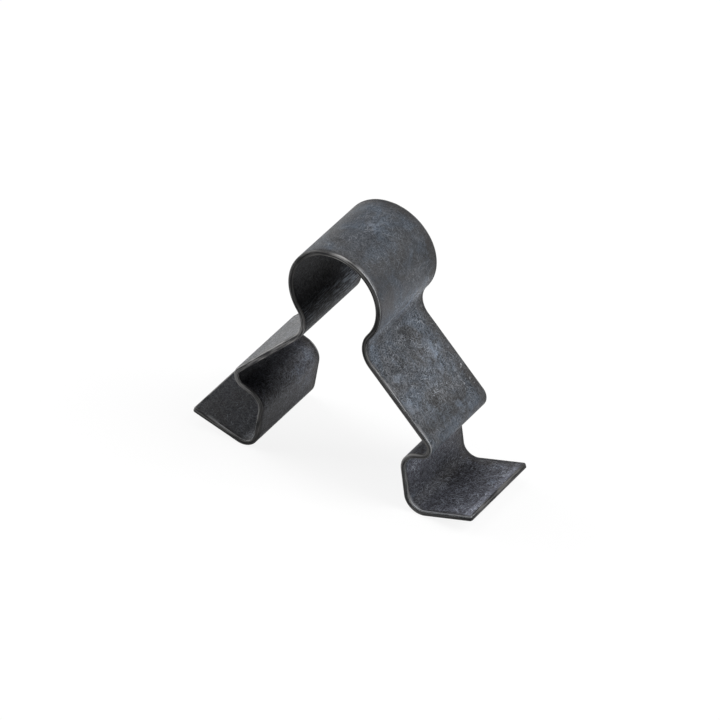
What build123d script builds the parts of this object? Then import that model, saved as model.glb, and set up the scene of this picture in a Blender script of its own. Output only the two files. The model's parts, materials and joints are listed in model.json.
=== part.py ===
from build123d import *
from math import cos, isclose, radians, sin
import os

# Retaining spring folded from one strip of spring steel, in millimetres.
# It stands on its two heels: X is its span, Y the width of the strip, Z is up.
# The origin is on the floor, below the middle of the loop.

# Strip
strip_width = 12.0
strip_thickness = 0.6
rolled_edge_radius = 0.2
broken_edge = 0.08
end_corner_radius = 0.3

# Loop at the top, open at the neck: its bore, and the degrees of it that the strip covers
loop_bore = 10.8
loop_wrap = 252.0

# Inside radius of each bend
neck_bend_radius = 2.8
shoulder_bend_radius = 1.05
waist_bend_radius = 1.8
heel_bend_radius = 1.6

# Straight runs between the bends
leg_length = 10.4
ledge_length = 1.0
shank_length = 3.5
foot_length = 6.3

# Slopes of the straight runs, in degrees
leg_slope = 45.0
ledge_slope = 19.0
shank_lean = 8.5
foot_rise = 16.5

loop_outside_radius = loop_bore / 2 + strip_thickness

# How far each bend turns the strip, going down the right side from the top of the loop
loop_turn = loop_wrap / 2
neck_turn = loop_turn - leg_slope
shoulder_turn = 180 - ledge_slope - leg_slope
waist_turn = 90 - ledge_slope + shank_lean
heel_turn = 90 - shank_lean + foot_rise


def straight_run(previous, length):
    """A straight run of the strip that carries on from the end of the bend before it."""
    return Line(previous @ 1, previous @ 1 + (previous % 1) * length)


def lifting_bend(previous, inside_radius, turn):
    """A bend that turns the strip upwards, so that its upper face is the inside of the bend."""
    return JernArc(start=previous @ 1, tangent=previous % 1, radius=inside_radius, arc_size=turn)


def dropping_bend(previous, inside_radius, turn):
    """A bend that turns the strip downwards, with its lower face on the inside."""
    outside_radius = inside_radius + strip_thickness
    return JernArc(start=previous @ 1, tangent=previous % 1, radius=outside_radius, arc_size=-turn)


# The strip seen from the side. The line is its upper face, from the top of the loop
# down to the end of the right foot, and the wall lies below that line.
with BuildSketch() as folded_section:
    with BuildLine() as upper_face:
        loop = JernArc(start=(0, 0), tangent=(1, 0), radius=loop_outside_radius, arc_size=-loop_turn)
        neck = lifting_bend(loop, neck_bend_radius, neck_turn)
        leg = straight_run(neck, leg_length)
        shoulder = dropping_bend(leg, shoulder_bend_radius, shoulder_turn)
        ledge = straight_run(shoulder, ledge_length)
        waist = lifting_bend(ledge, waist_bend_radius, waist_turn)
        shank = straight_run(waist, shank_length)
        heel = lifting_bend(shank, heel_bend_radius, heel_turn)
        foot = straight_run(heel, foot_length)
        mirror(about=Plane.YZ)
        offset(amount=strip_thickness, side=Side.RIGHT)
    make_face()

loop_top_height = heel_bend_radius + strip_thickness - heel.arc_center.Y
side_view = Plane(origin=(0, 0, loop_top_height), x_dir=(1, 0, 0), z_dir=(0, -1, 0))

with BuildPart() as retaining_spring:
    with BuildSketch(side_view):
        add(folded_section.sketch)
    extrude(amount=strip_width / 2, both=True)

    # The corners of the two sheared ends, which face along the feet
    for side in (1, -1):
        along_foot = Axis((0, 0, 0), (side * cos(radians(foot_rise)), 0, sin(radians(foot_rise))))
        sheared_end = retaining_spring.faces().filter_by(along_foot)
        fillet(sheared_end.edges().filter_by(Axis.Y, reverse=True), end_corner_radius)

    # Shearing rolls the strip's upper edge all round, and its lower edge is broken. Both run on
    # over every bend and round both ends, starting from the outside and the bore of the loop.
    loop_edges = retaining_spring.faces().filter_by(Axis.Y).edges().filter_by(GeomType.CIRCLE)
    upper_edges = loop_edges.filter_by(lambda edge: isclose(edge.radius, loop_outside_radius))
    fillet(upper_edges, rolled_edge_radius)
    loop_edges = retaining_spring.faces().filter_by(Axis.Y).edges().filter_by(GeomType.CIRCLE)
    lower_edges = loop_edges.filter_by(lambda edge: isclose(edge.radius, loop_bore / 2))
    chamfer(lower_edges, broken_edge)

retaining_spring.part.label = "retaining_spring"

os.makedirs("parts", exist_ok=True)
export_step(retaining_spring.part, "parts/retaining_spring.step")
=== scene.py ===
import bpy
import json
from math import atan2, cos, pi, radians, sin
from mathutils import Matrix, Vector
from types import SimpleNamespace

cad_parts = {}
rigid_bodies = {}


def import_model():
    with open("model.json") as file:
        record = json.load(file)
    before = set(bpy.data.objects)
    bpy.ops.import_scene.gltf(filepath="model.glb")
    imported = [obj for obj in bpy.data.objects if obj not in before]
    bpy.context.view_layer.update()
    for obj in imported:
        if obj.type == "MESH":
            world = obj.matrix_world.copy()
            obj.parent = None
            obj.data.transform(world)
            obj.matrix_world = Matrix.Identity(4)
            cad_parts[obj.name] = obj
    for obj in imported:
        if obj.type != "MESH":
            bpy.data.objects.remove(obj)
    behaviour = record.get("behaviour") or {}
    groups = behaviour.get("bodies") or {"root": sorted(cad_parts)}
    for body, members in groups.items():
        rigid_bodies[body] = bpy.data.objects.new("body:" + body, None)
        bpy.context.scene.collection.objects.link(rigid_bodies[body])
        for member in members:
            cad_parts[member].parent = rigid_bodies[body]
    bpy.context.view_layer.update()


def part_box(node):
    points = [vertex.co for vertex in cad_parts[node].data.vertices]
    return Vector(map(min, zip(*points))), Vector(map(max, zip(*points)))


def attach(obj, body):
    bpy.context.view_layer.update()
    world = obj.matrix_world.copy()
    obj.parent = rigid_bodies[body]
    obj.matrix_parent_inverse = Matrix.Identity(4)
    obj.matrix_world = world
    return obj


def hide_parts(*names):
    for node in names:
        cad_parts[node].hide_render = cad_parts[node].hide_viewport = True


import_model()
bpy.ops.object.select_all(action="DESELECT")

# The retaining spring's sizes, in metres. It is one folded strip, as the frame has it.
mm = 0.001
strip_width = 12.0 * mm
strip_thickness = 0.6 * mm
half_wall = strip_thickness / 2
rolled_edge_radius = 0.2 * mm
broken_edge = 0.08 * mm
end_corner_radius = 0.3 * mm
loop_bore = 10.8 * mm
top_of_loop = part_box("retaining_spring")[1].z

# The right side of the strip, from the top of the loop down. A bend has its inside radius and
# the degrees that it turns, downwards or upwards, and a run has its length.
folds = [
    ("drop", loop_bore / 2, 126.0),
    ("lift", 2.8 * mm, 81.0),
    ("run", 10.4 * mm, 0),
    ("drop", 1.05 * mm, 116.0),
    ("run", 1.0 * mm, 0),
    ("lift", 1.8 * mm, 79.5),
    ("run", 3.5 * mm, 0),
    ("lift", 1.6 * mm, 98.0),
    ("run", 6.3 * mm, 0),
]

# How finely it is modelled. Points closer together than the last of these are the same point.
bend_step = radians(3)
rolled_edge_steps = 5
broken_edge_steps = 2
end_corner_steps = 6
sharp_from = radians(60)
smooth_up_to = radians(40)
fine = 0.005 * mm

# The camera looks through the middle of the spring, from its right, in front and above
view_azimuth = radians(31.4)
view_elevation = radians(36.45)
view_roll = radians(1.25)
view_target = Vector((-0.1, 0.0, 12.85)) * mm
view_distance = 728 * mm
sensor_width = 36.0
lens_length = 326.7

# The studio's light, and how white its floor looks to the camera and in gloss
room_light = 0.07
white_to_camera = 0.88
white_in_gloss = 0.45
softbox_target = Vector((0, 0, 0.012))
softbox_distance = 0.6


# The strip, folded and finished

def edit_mode(select_mode):
    bpy.ops.object.mode_set(mode="EDIT")
    bpy.ops.mesh.select_mode(type=select_mode)


def object_mode():
    bpy.ops.object.mode_set(mode="OBJECT")


def apply_modifier(piece, kind, **settings):
    object_mode()
    modifier = piece.modifiers.new(kind.lower(), kind)
    for name, value in settings.items():
        setattr(modifier, name, value)
    bpy.ops.object.modifier_apply(modifier=modifier.name)


def direction_of(heading):
    return Vector((cos(heading), 0, sin(heading)))


def normal_of(heading):
    """The strip's upward normal where it runs in that direction."""
    return Vector((-sin(heading), 0, cos(heading)))


def side_of(way):
    """A lifting bend turns about a point above the strip, and a dropping one about a point below."""
    return 1 if way == "lift" else -1


def lay_out_folds():
    """Each fold with the place and heading where it starts, and how far along the strip that is."""
    place = Vector((0, 0, top_of_loop - half_wall))
    heading = 0.0
    along = 0.0
    laid = []
    for way, size, turn in folds:
        fold = {"way": way, "place": place, "heading": heading, "along": along}
        if way == "run":
            fold["length"] = size
            place = place + direction_of(heading) * size
        else:
            side = side_of(way)
            radius = size + half_wall
            fold["radius"] = radius
            fold["turn"] = radians(turn)
            fold["centre"] = place + normal_of(heading) * side * radius
            fold["length"] = radius * radians(turn)
            heading += radians(turn) * side
            place = fold["centre"] - normal_of(heading) * side * radius
        along += fold["length"]
        laid.append(fold)
    return laid, place


laid_folds, end_of_strip = lay_out_folds()


def fold_right_side(name):
    """The strip's section at the top of the loop, spun and extruded down to its sheared end."""
    place = laid_folds[0]["place"]
    bpy.ops.mesh.primitive_plane_add(size=strip_width, location=place, rotation=(0, pi / 2, 0))
    strip = bpy.context.object
    strip.name = name
    bpy.ops.object.transform_apply(location=True, rotation=True, scale=True)
    edit_mode("EDGE")
    bpy.ops.mesh.select_all(action="SELECT")
    flatten = (1, 1, strip_thickness / strip_width)
    bpy.ops.transform.resize(value=flatten, center_override=place)
    bpy.ops.mesh.delete(type="ONLY_FACE")
    bpy.ops.mesh.select_all(action="SELECT")
    for fold in laid_folds:
        if fold["way"] == "run":
            move = direction_of(fold["heading"]) * fold["length"]
            bpy.ops.mesh.extrude_region_move(TRANSFORM_OT_translate={"value": move})
        else:
            angle = fold["turn"] * side_of(fold["way"])
            steps = round(fold["turn"] / bend_step)
            bpy.ops.mesh.spin(steps=steps, angle=angle, center=fold["centre"], axis=(0, 1, 0))
    bpy.ops.mesh.edge_face_add()
    return strip


def round_end_corners(strip):
    """Rounds the two corners of the sheared end, across the wall."""
    reach = 0.6 * strip_width
    longest = 1.1 * strip_thickness
    edit_mode("EDGE")
    bpy.ops.mesh.select_all(action="DESELECT")
    object_mode()
    points = strip.data.vertices
    for edge in strip.data.edges:
        first, second = [points[index].co for index in edge.vertices]
        at_end = (first - end_of_strip).length < reach and (second - end_of_strip).length < reach
        level = abs(first.y - second.y) < fine
        edge.select = at_end and level and (first - second).length < longest
    edit_mode("EDGE")
    bpy.ops.mesh.bevel(offset=end_corner_radius, segments=end_corner_steps, affect="EDGES")


def round_rim(strip, height, radius, steps):
    """Rounds the rim of one face, which passes the top of the loop at that height."""
    edit_mode("EDGE")
    bpy.ops.mesh.select_all(action="DESELECT")
    bpy.ops.mesh.edges_select_sharp(sharpness=sharp_from)
    bpy.ops.mesh.hide(unselected=True)
    bpy.ops.mesh.select_all(action="DESELECT")
    bpy.ops.mesh.select_mode(type="VERT")
    object_mode()
    for point in strip.data.vertices:
        point.select = not point.hide and abs(point.co.x) < fine and abs(point.co.z - height) < fine
    edit_mode("VERT")
    bpy.ops.mesh.select_linked()
    bpy.ops.mesh.select_mode(type="EDGE")
    bpy.ops.mesh.reveal(select=False)
    bpy.ops.mesh.bevel(offset=radius, segments=steps, affect="EDGES")


def place_on_strip(point):
    """How far the point is along, across and up through the flat strip, before it was folded."""
    side = 1 if point.x >= 0 else -1
    spot = Vector((abs(point.x), 0, point.z))
    for fold in laid_folds:
        direction = direction_of(fold["heading"])
        if fold["way"] == "run":
            from_start = spot - fold["place"]
            gone = from_start.dot(direction)
            up = from_start.dot(normal_of(fold["heading"]))
        else:
            arm = spot - fold["centre"]
            first_arm = fold["place"] - fold["centre"]
            gone = atan2(arm.dot(direction), arm.dot(first_arm.normalized())) * fold["radius"]
            up = (fold["radius"] - arm.length) * side_of(fold["way"])
        if -fine < gone < fold["length"] + fine and abs(up) < half_wall + fine:
            return side * (fold["along"] + gone), point.y, up
    raise ValueError("a point of the strip lies on no fold")


def mark_places(strip):
    """Keeps each point's place on the flat strip, for the patterns that follow it."""
    marks = strip.data.attributes.new("strip_place", "FLOAT_VECTOR", "POINT")
    for index, point in enumerate(strip.data.vertices):
        marks.data[index].vector = place_on_strip(point.co)


def make_strip():
    strip = fold_right_side("folded_strip")
    round_end_corners(strip)
    apply_modifier(strip, "MIRROR", use_axis=(True, False, False), merge_threshold=fine)
    edit_mode("EDGE")
    bpy.ops.mesh.select_all(action="SELECT")
    bpy.ops.mesh.remove_doubles(threshold=fine)
    bpy.ops.mesh.normals_make_consistent(inside=False)
    round_rim(strip, top_of_loop, rolled_edge_radius, rolled_edge_steps)
    round_rim(strip, top_of_loop - strip_thickness, broken_edge, broken_edge_steps)
    object_mode()
    mark_places(strip)
    bpy.ops.object.shade_smooth_by_angle(angle=smooth_up_to)
    apply_modifier(strip, "WEIGHTED_NORMAL", keep_sharp=True, weight=80)
    return strip


strip = make_strip()
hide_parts("retaining_spring")
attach(strip, "root")


# Node helpers

def put(tree, kind, sockets, **settings):
    """Adds a node, sets its settings, and fills its sockets with values or with other outputs."""
    made = tree.nodes.new(kind)
    for name, value in settings.items():
        setattr(made, name, value)
    for name, value in sockets.items():
        if isinstance(value, bpy.types.NodeSocket):
            tree.links.new(value, made.inputs[name])
        else:
            made.inputs[name].default_value = value
    return made


def calculate(tree, operation, first, second=0.0, third=0.0):
    return put(tree, "ShaderNodeMath", {0: first, 1: second, 2: third}, operation=operation).outputs[0]


def product(tree, first, *others):
    total = first
    for other in others:
        total = calculate(tree, "MULTIPLY", total, other)
    return total


def add_share(tree, total, value, share):
    """The total and a share of the value, which a negative share takes away."""
    return calculate(tree, "MULTIPLY_ADD", value, share, total)


def strongest(tree, first, *others):
    total = first
    for other in others:
        total = calculate(tree, "MAXIMUM", total, other)
    return total


def spread(tree, value, low, high, lowest=0.0, highest=1.0):
    """Turns the range from low to high into lowest to highest, smoothly, and stays inside it."""
    sockets = {"Value": value, "From Min": low, "From Max": high, "To Min": lowest, "To Max": highest}
    return put(tree, "ShaderNodeMapRange", sockets, interpolation_type="SMOOTHSTEP").outputs["Result"]


def between(tree, mask, bare, masked):
    """One value where the mask is nought, and the other where it is one."""
    return spread(tree, mask, 0.0, 1.0, bare, masked)


def calculate_vector(tree, operation, first, second):
    return put(tree, "ShaderNodeVectorMath", {0: first, 1: second}, operation=operation)


def scaled(tree, vector, share):
    """A place or a colour, times the share."""
    return put(tree, "ShaderNodeVectorMath", {0: vector, "Scale": share}, operation="SCALE").outputs[0]


def moved(tree, vector, move):
    return calculate_vector(tree, "ADD", vector, move).outputs[0]


def stretched(tree, vector, share):
    return calculate_vector(tree, "MULTIPLY", vector, share).outputs[0]


def turned(tree, vector, angle):
    sockets = {"Vector": vector, "Angle": angle}
    return put(tree, "ShaderNodeVectorRotate", sockets, rotation_type="Z_AXIS").outputs[0]


def distance(tree, first, second):
    return calculate_vector(tree, "DISTANCE", first, second).outputs["Value"]


def blend_colours(tree, amount, first, second):
    return put(tree, "ShaderNodeMix", {0: amount, 6: first, 7: second}, data_type="RGBA").outputs[2]


def lay_over(tree, colour, mask, share, top):
    """Lays a share of the top colour over the colour, where the mask is."""
    return blend_colours(tree, product(tree, mask, share), colour, top)


def mottle(tree, vector, low, high, scale=1.0, detail=2.0, roughness=0.6, distortion=0.0):
    """Noise, with what lies between low and high spread out from nought to one."""
    sockets = {"Vector": vector, "Scale": scale, "Detail": detail}
    sockets.update({"Roughness": roughness, "Distortion": distortion})
    return spread(tree, put(tree, "ShaderNodeTexNoise", sockets).outputs["Fac"], low, high)


def new_effect(name, inputs, outputs):
    """A shader node group with the named inputs and outputs, and its two end nodes."""
    effect = bpy.data.node_groups.new(name, "ShaderNodeTree")
    for label, kind, value in inputs:
        socket = effect.interface.new_socket(label, in_out="INPUT", socket_type=kind)
        if value is not None:
            socket.default_value = value
    for label, kind in outputs:
        effect.interface.new_socket(label, in_out="OUTPUT", socket_type=kind)
    return effect, effect.nodes.new("NodeGroupInput"), effect.nodes.new("NodeGroupOutput")


def make_hairlines():
    """Short, slightly curved scratches, one to each cell of a scattered pattern, all ways round."""
    effect, given, result = new_effect(
        "hairlines",
        [
            ("Vector", "NodeSocketVector", None),
            ("Scale", "NodeSocketFloat", 1.0),
            ("Half Length", "NodeSocketFloat", 0.4),
            ("Half Width", "NodeSocketFloat", 0.03),
            ("Curl", "NodeSocketFloat", 0.2),
        ],
        [("Mask", "NodeSocketFloat")],
    )
    vector = given.outputs["Vector"]
    drift = put(effect, "ShaderNodeTexNoise", {"Vector": vector, "Scale": 1.2, "Detail": 0.0})
    drift = calculate_vector(effect, "SUBTRACT", drift.outputs["Color"], (0.5, 0.5, 0.5)).outputs[0]
    bent = moved(effect, vector, scaled(effect, drift, given.outputs["Curl"]))
    sockets = {"Vector": bent, "Scale": given.outputs["Scale"]}
    cells = put(effect, "ShaderNodeTexVoronoi", sockets, voronoi_dimensions="2D", feature="F1").outputs
    chance = put(effect, "ShaderNodeSeparateColor", {"Color": cells["Color"]}).outputs
    from_middle = calculate_vector(effect, "SUBTRACT", bent, cells["Position"]).outputs[0]
    any_way = turned(effect, from_middle, calculate(effect, "MULTIPLY", chance[0], 2 * pi))
    offset = put(effect, "ShaderNodeSeparateXYZ", {"Vector": any_way}).outputs
    beside = calculate(effect, "ABSOLUTE", offset[1])
    ahead = calculate(effect, "ABSOLUTE", offset[0])
    thin = spread(effect, calculate(effect, "DIVIDE", beside, given.outputs["Half Width"]), 1.0, 0.3)
    short = spread(effect, calculate(effect, "DIVIDE", ahead, given.outputs["Half Length"]), 1.0, 0.6)
    effect.links.new(product(effect, thin, short, chance[1]), result.inputs["Mask"])
    return effect


def place_effect(tree, effect, **sockets):
    """Places the effect in the material, with its own values, and gives its outputs."""
    placed = tree.nodes.new("ShaderNodeGroup")
    placed.node_tree = effect
    for name, value in sockets.items():
        socket = placed.inputs[name.replace("_", " ").title()]
        if isinstance(value, bpy.types.NodeSocket):
            tree.links.new(value, socket)
        else:
            socket.default_value = value
    return placed.outputs


def new_material(name):
    material = bpy.data.materials.new(name)
    material.use_nodes = True
    return material, material.node_tree, material.node_tree.nodes["Principled BSDF"]


# Phosphated spring steel. Its patterns are laid on the flat strip, in millimetres, and those of
# the two faces are moved this far apart. An end lies end_excess further out than a side does, and
# is brought in by it, so that the whole rim is at one distance.
face_shift = 60.0
end_excess = 41.02

# Places along both sides, from the top of the loop: the middle, the reach, and how far it fades
drawn_flanks = (10.6, 1.2, 1.4)
sheltered_neck = (12.5, 3.5, 1.5)
# A painted highlight across the neck's crease
neck_crease_highlight = (12.6, 0.1, 0.5)
pressed_outside = (14.0, 0.6, 1.8)
pressed_inside = (15.2, 1.2, 2.2)

# Places on one side, with the left side negative, and how far from them each begins and is full
sheltered_flank = -3.6
sheltered_flank_zone = (4.2, 3.2)
burnished_leg = 20.0
burnished_leg_zone = (7.0, 5.5)

# Zones along the strip, from where each begins to where it is full
loop_zone = (12.0, 9.0)
feet_zone = (31.0, 35.0)
left_zone = (-8.0, -14.0)

# Zones across it, from its middle line out towards the rim
burnished_zone = (3.0, 4.2)
burnished_end = (5.9, 5.4)
# The back margin is darker partly from painted shade, where the rolled edge turns away
back_margin_zone = (4.6, 5.9)
front_margin_zone = (5.5, 6.1)
# Where the painted highlight spreads from the rolled edge onto the face
rubbed_margin_zone = (5.35, 5.75)
dull_zone = (5.3, 5.7)
rim_zone = (5.76, 5.84)

# Zones up through the wall, from its middle, and the height where the shear gave way to a tear
upper_zone = (-0.05, 0.05)
lower_zone = (0.1, -0.1)
top_zone = (0.1, 0.2)
rolled_zone = (0.05, 0.14)
tear_height = -0.08
off_tear_zone = (0.02, 0.09)

# The coat: its dark ground, and the paler crystals on it
blue_ground = (0.0195, 0.023, 0.029, 1)
bare_ground = (0.0295, 0.029, 0.0297, 1)
plum_ground = (0.0265, 0.025, 0.0275, 1)
grey_crystals = (0.17, 0.18, 0.2, 1)
blue_crystals = (0.225, 0.272, 0.34, 1)
plain_crystals = (0.2, 0.198, 0.194, 1)
plum_crystals = (0.186, 0.2, 0.246, 1)
pale_crystals = (0.2, 0.25, 0.325, 1)

# What lies over it where it is scratched, smooth, rubbed or thin, painted shade along the rim's
# margin, a painted highlight at the neck's crease, and steel for burnished flecks and painted
# highlights
scratched_coat = (0.37, 0.4, 0.45, 1)
smooth_coat = (0.062, 0.061, 0.065, 1)
rubbed_coat = (0.22, 0.245, 0.28, 1)
margin_coat_and_shade = (0.036, 0.033, 0.032, 1)
burnished_and_highlight_steel = (0.3, 0.31, 0.33, 1)

# The cut edge, its worn steel, and the painted highlight on it
dark_cut = (0.03, 0.03, 0.031, 1)
light_cut = (0.15, 0.148, 0.146, 1)
worn_steel = (0.1, 0.1, 0.1, 1)
painted_highlight_steel = (0.5, 0.52, 0.55, 1)

# How the coat differs along each face: the place, its tone with painted light and shade, its
# texture, and the cut's tone with painted light and shade. The painted light is brighter at the
# neck's crease, at the ledge and on the cut at the front of the loop, and painted shade darkens the
# right heel, the inside of the loop and the recess under the left leg. A colour ramp holds them,
# over the length and below the ceiling given here.
ramp_length = 96
ramp_ceiling = 5
upper_coat_and_painted_light = [
    (-47, 1.05, 0.8, 1.4), (-43, 0.82, 0.85, 1.3), (-38, 0.85, 0.9, 0.9), (-26, 1.1, 1.5, 2.1),
    (-15, 1.35, 1.5, 2.1), (-6, 0.54, 0.7, 0.8), (-2, 0.72, 0.7, 0.8), (0.5, 1.02, 0.7, 2.7),
    (2.5, 0.74, 0.65, 1.6), (6.0, 0.62, 0.6, 0.8), (9, 1.2, 0.7, 0.7), (11.2, 2.3, 1.2, 0.7),
    (12.4, 4.8, 1.4, 0.9), (13.5, 2.4, 1.4, 0.9), (14.6, 0.84, 1.35, 0.9), (16.4, 1.02, 1.2, 0.9),
    (18.3, 0.8, 1.1, 0.8), (20.5, 0.96, 1.05, 0.8), (24.5, 1.0, 1.0, 0.8), (26.5, 0.6, 0.9, 0.8),
    (28.3, 1.0, 0.7, 0.8), (30.5, 4.2, 1.2, 0.7), (36.5, 0.74, 1.3, 1.1), (38.5, 0.46, 1.2, 1.1),
    (41.5, 1.02, 1.6, 1.0), (43, 1.05, 1.7, 0.7), (45.7, 1.4, 1.3, 0.75), (46.4, 2.7, 0.9, 0.85),
    (46.85, 1.8, 0.9, 0.85),
]
lower_coat_and_painted_light = [
    (-47, 0.8, 1.0, 1.4), (-38, 0.54, 1.2, 1.1), (-34, 1.05, 1.5, 1.1), (-28, 0.32, 0.9, 3.8),
    (-16, 0.46, 1.4, 4.0), (-12, 0.21, 1.2, 0.8), (-8, 0.47, 1.2, 0.8), (0.5, 0.5, 1.0, 2.7),
    (3, 0.4, 1.0, 0.9), (12, 0.4, 1.0, 0.9), (17, 0.8, 1.0, 0.8), (36.5, 1.0, 1.0, 2.4),
    (43, 1.0, 1.0, 1.7), (47, 1.0, 1.0, 0.9),
]

# Marks on its upper face, among them a painted shadow over the right heel and painted highlights
# on the rim: how far along, how far across, and their reach
pale_places = [
    (15.8, 2.4, 0.6), (14.6, -4.8, 0.6), (18.4, -2.7, 0.6), (19.5, 2.7, 1.9), (20.0, -4.1, 0.6),
    (22.3, 2.5, 0.7), (23.0, -5.0, 1.1), (26.5, 1.4, 0.6), (38.0, -5.4, 0.9), (44.3, 4.6, 1.0),
    (45.3, 1.4, 0.6), (0.6, 1.0, 0.7),
]
# The dark place at 40 mm, over the right heel, is a painted shadow
dark_places = [
    (16.6, 1.2, 1.2), (18.9, -2.2, 0.8), (24.6, -1.4, 0.9), (25.0, 5.3, 1.4), (40.0, 1.6, 2.8),
    (8.0, 5.0, 2.2),
]
smooth_places = [(9.0, -5.2, 4.0), (5.0, -5.8, 2.4)]
# Painted highlights on the rolled edge, one of them a glint at the right foot's corner
painted_highlight_places = [
    (4.4, -6.0, 1.7), (20.2, -6.0, 1.3), (26.4, -6.0, 1.8), (38.6, -6.0, 1.4), (47.0, -5.7, 0.4),
    (-44.5, -6.0, 1.4),
]

# Pale marks on its lower face, and scratches on the right foot, each from one place to another
pale_below = [
    (-32.4, 4.4, 1.2), (-33.4, 1.8, 1.3), (-35.4, 3.6, 1.0), (-14.0, 3.6, 1.4), (-14.6, 1.0, 0.8),
]
foot_scratches = [
    ((41.7, -2.0), (43.6, -2.2)), ((42.4, -2.8), (43.9, -2.5)), ((43.4, 1.5), (44.9, 2.7)),
    ((44.9, 2.7), (46.6, 3.1)), ((41.3, -3.2), (42.5, -4.1)), ((43.9, -4.5), (45.0, -5.4)),
]
foot_scratch_width = 0.08
foot_scratch_core = 0.02

# The fine scratches all over: how far their pattern is moved, how many of them there are along a
# millimetre, half their length, and how much they curl
hair_kinds = [
    ((0, 0, 0), 0.7, 0.65, 0.15),
    ((31, 9, 0), 1.25, 0.34, 0.12),
    ((57, 40, 0), 2.2, 0.2, 0.08),
]
hair_half_width = 0.045

# The crystals' fibres: the way that they lie, in degrees, and how far their pattern is moved
fibre_kinds = [(22, 0), (82, 37), (141, 71)]


def read_place(tree):
    """Where the surface lies on the flat strip, in millimetres, and where it lies in the patterns,
    in which the lower face is far from the upper one."""
    here = SimpleNamespace()
    place = put(tree, "ShaderNodeAttribute", {}, attribute_name="strip_place").outputs["Vector"]
    here.place = scaled(tree, place, 1 / mm)
    here.along, here.across, here.up = put(tree, "ShaderNodeSeparateXYZ", {"Vector": here.place}).outputs
    here.from_top = calculate(tree, "ABSOLUTE", here.along)
    pattern_along = add_share(tree, here.along, here.up, face_shift * mm / half_wall)
    sockets = {"X": pattern_along, "Y": here.across, "Z": 0.0}
    here.face = put(tree, "ShaderNodeCombineXYZ", sockets).outputs[0]
    here.is_upper = spread(tree, here.up, *upper_zone)
    return here


def near(tree, here, middle, reach, fade):
    """One where the strip is within reach of a place along it, on both sides of the spring."""
    away = calculate(tree, "ABSOLUTE", calculate(tree, "SUBTRACT", here.from_top, middle))
    return spread(tree, away, reach + fade, reach)


def spots(tree, here, places, shift=face_shift):
    """Soft patches with ragged borders on one face, each with its along, across and reach."""
    raggedness, border, core = 0.8, 1.15, 0.3
    patches = []
    for along, across, reach in places:
        away = distance(tree, here.face, (along + shift, across, 0))
        away = add_share(tree, away, here.ragged, -raggedness * reach)
        patches.append(spread(tree, away, reach * border, reach * core))
    return strongest(tree, *patches)


def straight_scratches(tree, here, marks):
    """Fine straight scratches on the upper face."""
    lines = []
    for (along, across), (end_along, end_across) in marks:
        way = Vector((end_along - along, end_across - across, 0))
        gone = moved(tree, here.face, (-along - face_shift, -across, 0))
        share = calculate_vector(tree, "DOT_PRODUCT", gone, way / way.length_squared).outputs["Value"]
        share = put(tree, "ShaderNodeClamp", {"Value": share}).outputs["Result"]
        away = distance(tree, gone, scaled(tree, way, share))
        lines.append(spread(tree, away, foot_scratch_width, foot_scratch_core))
    return strongest(tree, *lines)


def coat_and_light_along(tree, here, coat):
    """Reads, at this place along the strip, the coat's tone with painted light and shade, its
    texture, and the tone of its cut with painted light and shade.
    """
    ramp = put(tree, "ShaderNodeValToRGB", {"Fac": add_share(tree, 0.5, here.along, 1 / ramp_length)})
    ramp.color_ramp.interpolation = "EASE"
    stops = ramp.color_ramp.elements
    while len(stops) < len(coat):
        stops.new(0.5)
    for stop, (place, shade, texture, cut_tone_and_light) in zip(stops, coat):
        stop.position = place / ramp_length + 0.5
        stop.color = (shade / ramp_ceiling, texture / ramp_ceiling, cut_tone_and_light / ramp_ceiling, 1)
    return ramp.outputs["Color"]


def mark_coat_and_light(tree, here):
    """The coat's tone with painted light and shade, its texture, and its cut's tone with painted
    light and shade, on the face that this is.
    """
    lower = coat_and_light_along(tree, here, lower_coat_and_painted_light)
    upper = coat_and_light_along(tree, here, upper_coat_and_painted_light)
    coat = scaled(tree, blend_colours(tree, here.is_upper, lower, upper), float(ramp_ceiling))
    here.shade, here.texture, here.cut_shade = put(tree, "ShaderNodeSeparateColor", {"Color": coat}).outputs


def mark_zones(tree, here):
    """The feet and the lower face are plum grey, the left leg is plain grey, and the rest blue grey."""
    here.on_loop = spread(tree, here.from_top, *loop_zone)
    here.on_feet = spread(tree, here.from_top, *feet_zone)
    here.on_left = spread(tree, here.along, *left_zone)
    plum_feet = product(tree, here.on_feet, between(tree, here.on_left, 1.0, 0.35))
    here.plum = strongest(tree, plum_feet, calculate(tree, "SUBTRACT", 1.0, here.is_upper))


def mark_crystals(tree, here):
    """Crystals a fifth of a millimetre across, felted with short fibres that lie three ways."""
    here.grain = mottle(tree, here.face, 0.32, 0.7, scale=5.2, distortion=0.15)
    fibres = []
    for angle, move in fibre_kinds:
        lying = turned(tree, moved(tree, here.face, (move, move, 0)), radians(angle))
        narrow = stretched(tree, lying, (1.2, 7.5, 1.0))
        fibres.append(mottle(tree, narrow, 0.53, 0.76, detail=1.0, roughness=0.5, distortion=0.1))
    here.fibres = strongest(tree, *fibres)


def mark_patches(tree, here):
    """Clusters of crystals a millimetre across, cloudier areas, barer ones, and this spring's pale,
    dark and smooth places, with a painted shadow over the right heel among the dark ones."""
    clusters = moved(tree, here.face, (11, 3, 0))
    here.clusters = mottle(tree, clusters, 0.34, 0.66, scale=1.1, detail=3.0, roughness=0.62, distortion=0.5)
    clouds = moved(tree, here.face, (5, 7, 0))
    here.clouds = mottle(tree, clouds, 0.42, 0.64, scale=0.33, detail=4.0, distortion=0.6)
    bare = moved(tree, here.face, (-8, 21, 0))
    here.bare = mottle(tree, bare, 0.46, 0.62, scale=0.2, detail=3.0, roughness=0.55, distortion=0.3)
    here.ragged = calculate(tree, "SUBTRACT", here.clusters, 0.5)
    pale_on_lower = spots(tree, here, pale_below, -face_shift)
    here.pale = strongest(tree, spots(tree, here, pale_places), pale_on_lower)
    here.dark = spots(tree, here, dark_places)
    here.smooth = spots(tree, here, smooth_places)


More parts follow.
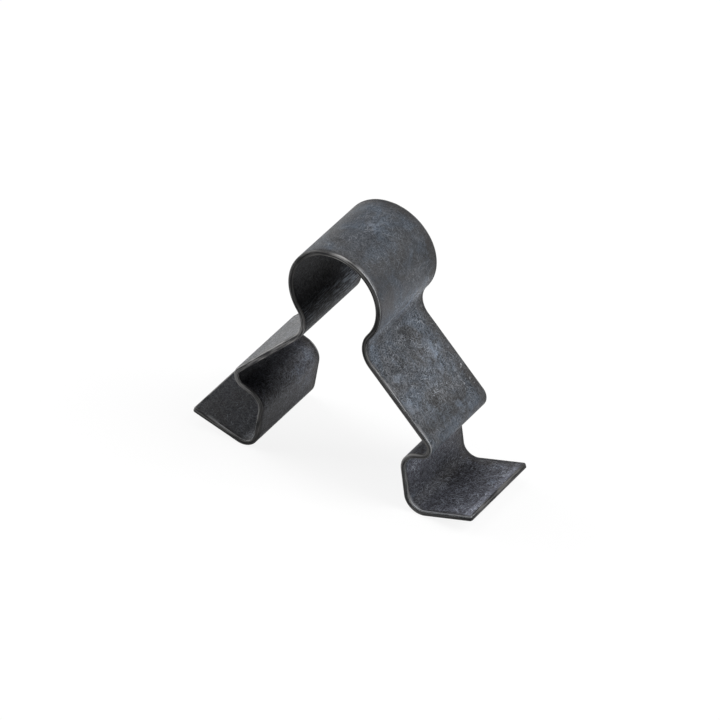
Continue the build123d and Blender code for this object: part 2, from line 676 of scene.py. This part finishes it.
def mark_scratches(tree, here):
    """Fine scratches of three lengths, thick in some places and few in others, and the foot's own."""
    kinds = []
    for move, scale, half_length, curl in hair_kinds:
        kind = place_effect(
            tree, hairlines, vector=moved(tree, here.face, move), scale=scale,
            half_length=half_length, half_width=hair_half_width, curl=curl)
        kinds.append(kind["Mask"])
    thick = mottle(tree, moved(tree, here.face, (17, 5, 0)), 0.42, 0.66, scale=0.5, roughness=0.55)
    hairs = product(tree, strongest(tree, *kinds), between(tree, thick, 0.22, 1.0))
    hairs = product(tree, hairs, spread(tree, here.texture, 0.3, 1.3, 0.3, 0.95))
    hairs = product(tree, hairs, between(tree, here.is_upper, 0.45, 1.0))
    on_foot = product(tree, straight_scratches(tree, here, foot_scratches), 0.32)
    here.hairs = strongest(tree, hairs, on_foot)


def mark_rubbed_lines(tree, here):
    """Lines across the strip, rubbed on where the neck was pressed round, more so on its lower
    face, and a few along it, drawn down the loop's flanks. A painted highlight runs across the
    neck's crease."""
    is_lower = spread(tree, here.up, *lower_zone)
    lines = mottle(tree, stretched(tree, here.face, (7.0, 0.55, 1.0)), 0.46, 0.7)
    outside = product(tree, near(tree, here, *pressed_outside), 0.36)
    inside = product(tree, near(tree, here, *pressed_inside), product(tree, is_lower, 1.6))
    pressed = product(tree, lines, strongest(tree, outside, inside))
    drawn = mottle(tree, stretched(tree, here.face, (0.35, 5.0, 1.0)), 0.56, 0.72)
    drawn = product(tree, drawn, near(tree, here, *drawn_flanks))
    drawn = product(tree, drawn, add_share(tree, 0.32, is_lower, -0.32))
    crease_highlight = product(tree, near(tree, here, *neck_crease_highlight), spread(tree, here.up, *top_zone))
    crease_highlight = product(tree, crease_highlight, between(tree, lines, 0.3, 0.5))
    here.rubbed = strongest(tree, pressed, drawn, crease_highlight)


def mark_burnish(tree, here):
    """Burnished flecks in the dark margin of the right leg."""
    flecks = place_effect(
        tree, hairlines, vector=moved(tree, here.face, (3, 44, 0)), scale=1.5, half_length=0.2,
        half_width=0.12, curl=0.2)["Mask"]
    begun = spread(tree, here.across, *burnished_zone)
    on_margin = product(tree, begun, spread(tree, here.across, *burnished_end))
    on_margin = product(tree, on_margin, spread(tree, here.clusters, 0.35, 0.75))
    from_leg = calculate(tree, "ABSOLUTE", calculate(tree, "SUBTRACT", here.along, burnished_leg))
    here.burnish = product(tree, flecks, on_margin, spread(tree, from_leg, *burnished_leg_zone))


def mark_rim(tree, here):
    """The rim: a darker margin, partly painted shade where the rolled edge turns away, then the
    rolled edge, and the cut below it with the shear's fine lines, which stop at a darker one where
    the steel tore."""
    here.to_side = calculate(tree, "ABSOLUTE", here.across)
    to_end = calculate(tree, "SUBTRACT", here.from_top, end_excess)
    here.outward = strongest(tree, here.to_side, to_end)
    back_margin = spread(tree, add_share(tree, here.across, here.clusters, 0.8), *back_margin_zone)
    front_margin = spread(tree, add_share(tree, here.to_side, here.clusters, 0.4), *front_margin_zone)
    here.margin = strongest(tree, back_margin, front_margin)
    here.rim = spread(tree, here.outward, *rim_zone)
    here.rolled = product(tree, here.rim, spread(tree, here.up, *rolled_zone))
    lines = mottle(tree, stretched(tree, here.place, (0.4, 0.4, 7.0)), 0.38, 0.62)
    from_tear = calculate(tree, "ABSOLUTE", calculate(tree, "SUBTRACT", here.up, tear_height))
    here.cut_lines = product(tree, lines, spread(tree, from_tear, *off_tear_zone, 0.25, 1.0))


def mark_wear_and_highlights(tree, here):
    """The rolled edge is worn in places, but not where it is sheltered, and a few spots of it, with
    the face beside them, carry painted highlights."""
    wear = mottle(tree, stretched(tree, here.place, (0.35, 1.0, 1.0)), 0.42, 0.6)
    at_neck = near(tree, here, *sheltered_neck)
    from_flank = calculate(tree, "ABSOLUTE", calculate(tree, "SUBTRACT", here.along, sheltered_flank))
    on_flank = spread(tree, from_flank, *sheltered_flank_zone)
    here.sheltered = strongest(tree, at_neck, on_flank, here.on_feet, here.on_left)
    here.worn = product(tree, here.rolled, wear, between(tree, here.sheltered, 1.0, 0.0))
    rubbed_spots = spots(tree, here, painted_highlight_places)
    here.rubbed_bright = product(tree, here.rolled, rubbed_spots)
    here.rubbed_margin = product(tree, spread(tree, here.to_side, *rubbed_margin_zone), rubbed_spots)


def mark_flecks(tree, here):
    """How much of the pale crystals shows: their own texture, and then with their patches."""
    flecks = product(tree, calculate(tree, "SUBTRACT", here.grain, 0.5), 0.27)
    flecks = add_share(tree, flecks, calculate(tree, "SUBTRACT", here.fibres, 0.3), 0.38)
    here.flecked = add_share(tree, 0.3, flecks, here.texture)
    unevenness = add_share(tree, add_share(tree, 0.19, here.on_feet, -0.12), here.on_loop, -0.07)
    paleness = add_share(tree, 0.32, here.on_feet, -0.16)
    crystals = add_share(tree, here.flecked, here.ragged, unevenness)
    crystals = add_share(tree, crystals, here.pale, paleness)
    here.crystals = add_share(tree, crystals, here.dark, -0.2)


def coat_colour(tree, here):
    """Dark ground under paler crystals, with what lies over them, and painted light and shade along
    the strip.
    """
    ground = blend_colours(tree, here.bare, blue_ground, bare_ground)
    ground = blend_colours(tree, here.plum, ground, plum_ground)
    light = blend_colours(tree, here.clouds, grey_crystals, blue_crystals)
    light = blend_colours(tree, here.on_left, light, plain_crystals)
    light = blend_colours(tree, here.plum, light, plum_crystals)
    light = lay_over(tree, light, here.pale, 0.35, pale_crystals)
    colour = blend_colours(tree, here.crystals, ground, light)
    colour = blend_colours(tree, here.hairs, colour, scratched_coat)
    colour = lay_over(tree, colour, here.smooth, 0.6, smooth_coat)
    # Darker places, one of them a painted shadow over the right heel
    colour = scaled(tree, colour, between(tree, here.dark, 1.0, 0.75))
    # Painted light and shade along the strip, with the coat's own tone
    colour = scaled(tree, colour, here.shade)
    # Rubbed lines, and the painted highlight at the neck's crease
    colour = lay_over(tree, colour, here.rubbed, 0.85, rubbed_coat)
    # Darker margin, partly painted shade
    colour = lay_over(tree, colour, here.margin, 0.7, margin_coat_and_shade)
    colour = lay_over(tree, colour, here.burnish, 0.9, burnished_and_highlight_steel)
    # Painted highlight on the face beside the rolled edge
    return lay_over(tree, colour, here.rubbed_margin, 0.45, burnished_and_highlight_steel)


def edge_colour(tree, here):
    """The cut steel, the rolled edge where it is worn, and painted highlights on a few spots of it."""
    colour = scaled(tree, blend_colours(tree, here.cut_lines, dark_cut, light_cut), here.cut_shade)
    colour = blend_colours(tree, here.worn, colour, worn_steel)
    return blend_colours(tree, here.rubbed_bright, colour, painted_highlight_steel)


def gloss(tree, here):
    """Pale crystals shine more, and parts darkened by tone and painted shade, and the sheltered rim,
    shine less.
    """
    sheen = add_share(tree, 0.42, calculate(tree, "SUBTRACT", here.flecked, 0.3), 0.9)
    sheen = product(tree, sheen, spread(tree, here.shade, 0.2, 0.9, 0.35, 1.0))
    dull = product(tree, here.sheltered, spread(tree, here.outward, *dull_zone))
    return strongest(tree, product(tree, sheen, between(tree, dull, 1.0, 0.3)), 0.05)


def relief(tree, here):
    """The crystals stand up and the scratches go in. The rim has the shear's lines alone."""
    coat = add_share(tree, strongest(tree, here.grain, here.fibres), here.hairs, -0.4)
    coat = product(tree, coat, between(tree, here.rim, 1.0, 0.0))
    height = calculate(tree, "ADD", coat, product(tree, here.cut_lines, here.rim, 0.3))
    bump = put(tree, "ShaderNodeBump", {"Strength": 0.7, "Distance": 0.03 * mm, "Height": height})
    return bump.outputs["Normal"]


def make_phosphated_steel():
    material, tree, shader = new_material("phosphated_steel")
    here = read_place(tree)
    mark_coat_and_light(tree, here)
    mark_zones(tree, here)
    mark_crystals(tree, here)
    mark_patches(tree, here)
    mark_scratches(tree, here)
    mark_rubbed_lines(tree, here)
    mark_burnish(tree, here)
    mark_rim(tree, here)
    mark_wear_and_highlights(tree, here)
    mark_flecks(tree, here)
    colour = blend_colours(tree, here.rim, coat_colour(tree, here), edge_colour(tree, here))
    roughness = add_share(tree, add_share(tree, 0.4, here.grain, 0.1), here.worn, -0.14)
    tree.links.new(colour, shader.inputs["Base Color"])
    tree.links.new(product(tree, here.worn, 0.5), shader.inputs["Metallic"])
    tree.links.new(roughness, shader.inputs["Roughness"])
    tree.links.new(gloss(tree, here), shader.inputs["Specular IOR Level"])
    tree.links.new(relief(tree, here), shader.inputs["Normal"])
    return material


hairlines = make_hairlines()
strip.data.materials.clear()
strip.data.materials.append(make_phosphated_steel())


# Floor, lights and camera
floor_size = 6
white = (1, 1, 1, 1)
floor_in_light = (0.3, 0.3, 0.3, 1)
floor_to_camera = (0.95, 0.95, 0.95, 1)


def seen_as_white(tree):
    """How much of the white studio is seen by camera and glass rays, and by mirror rays."""
    path = tree.nodes.new("ShaderNodeLightPath").outputs
    clear = strongest(tree, path["Is Camera Ray"], path["Is Transmission Ray"])
    mirror = product(tree, path["Is Glossy Ray"], white_in_gloss)
    return strongest(tree, product(tree, clear, white_to_camera), mirror)


def make_floor():
    bpy.ops.mesh.primitive_plane_add(size=floor_size, location=(0, 0, 0))
    floor = bpy.context.object
    floor.name = "floor"
    material, tree, shader = new_material("white_floor")
    to_camera = tree.nodes.new("ShaderNodeLightPath").outputs["Is Camera Ray"]
    colour = blend_colours(tree, to_camera, floor_in_light, floor_to_camera)
    tree.links.new(colour, shader.inputs["Base Color"])
    shader.inputs["Roughness"].default_value = 0.8
    shader.inputs["Specular IOR Level"].default_value = 0.2
    glow = put(tree, "ShaderNodeEmission", {"Color": white, "Strength": 1.0}).outputs[0]
    mixed = put(tree, "ShaderNodeMixShader", {0: seen_as_white(tree), 1: shader.outputs[0], 2: glow})
    tree.links.new(mixed.outputs[0], tree.nodes["Material Output"].inputs["Surface"])
    floor.data.materials.append(material)


def make_world():
    """A dim white room that looks full white to the camera."""
    world = bpy.data.worlds.new("studio")
    bpy.context.scene.world = world
    world.use_nodes = True
    tree = world.node_tree
    dim = tree.nodes["Background"]
    dim.inputs["Color"].default_value = white
    dim.inputs["Strength"].default_value = room_light
    bright = put(tree, "ShaderNodeBackground", {"Color": white, "Strength": 1.0}).outputs[0]
    to_camera = tree.nodes.new("ShaderNodeLightPath").outputs["Is Camera Ray"]
    mixed = put(tree, "ShaderNodeMixShader", {0: to_camera, 1: dim.outputs[0], 2: bright})
    tree.links.new(mixed.outputs[0], tree.nodes["World Output"].inputs["Surface"])


def add_softbox(name, azimuth, elevation, size, watts):
    """A softbox that faces the spring. Azimuth 0 is in front, and 90 is to the right."""
    lamp = bpy.data.lights.new(name, "AREA")
    lamp.shape = "RECTANGLE"
    lamp.size, lamp.size_y = size
    lamp.energy = watts
    softbox = bpy.data.objects.new(name, lamp)
    bpy.context.scene.collection.objects.link(softbox)
    flat = cos(radians(elevation))
    outward = Vector((sin(radians(azimuth)) * flat, -cos(radians(azimuth)) * flat, sin(radians(elevation))))
    softbox.location = softbox_target + outward * softbox_distance
    softbox.rotation_euler = outward.to_track_quat("Z", "Y").to_euler()


def look_from_photo():
    """The camera, turned to the photo's azimuth, elevation and roll."""
    forward = Vector((
        -sin(view_azimuth) * cos(view_elevation),
        cos(view_azimuth) * cos(view_elevation),
        -sin(view_elevation),
    ))
    level = Vector((cos(view_azimuth), sin(view_azimuth), 0))
    upright = level.cross(forward)
    right = level * cos(view_roll) + upright * sin(view_roll)
    up = upright * cos(view_roll) - level * sin(view_roll)
    lens = bpy.data.cameras.new("camera")
    lens.sensor_width = sensor_width
    lens.lens = lens_length
    lens.clip_start = 0.01
    camera = bpy.data.objects.new("camera", lens)
    bpy.context.scene.collection.objects.link(camera)
    facing = Matrix((right, up, -forward)).transposed()
    camera.matrix_world = Matrix.Translation(view_target - forward * view_distance) @ facing.to_4x4()
    bpy.context.scene.camera = camera


make_floor()
make_world()
add_softbox("left_softbox", azimuth=270, elevation=14, size=(0.6, 0.5), watts=5.2)
add_softbox("right_softbox", azimuth=106, elevation=45, size=(0.3, 0.46), watts=3.7)
add_softbox("overhead_softbox", azimuth=270, elevation=72, size=(0.35, 0.35), watts=1.0)
look_from_photo()
bpy.context.scene.view_settings.view_transform = "Standard"
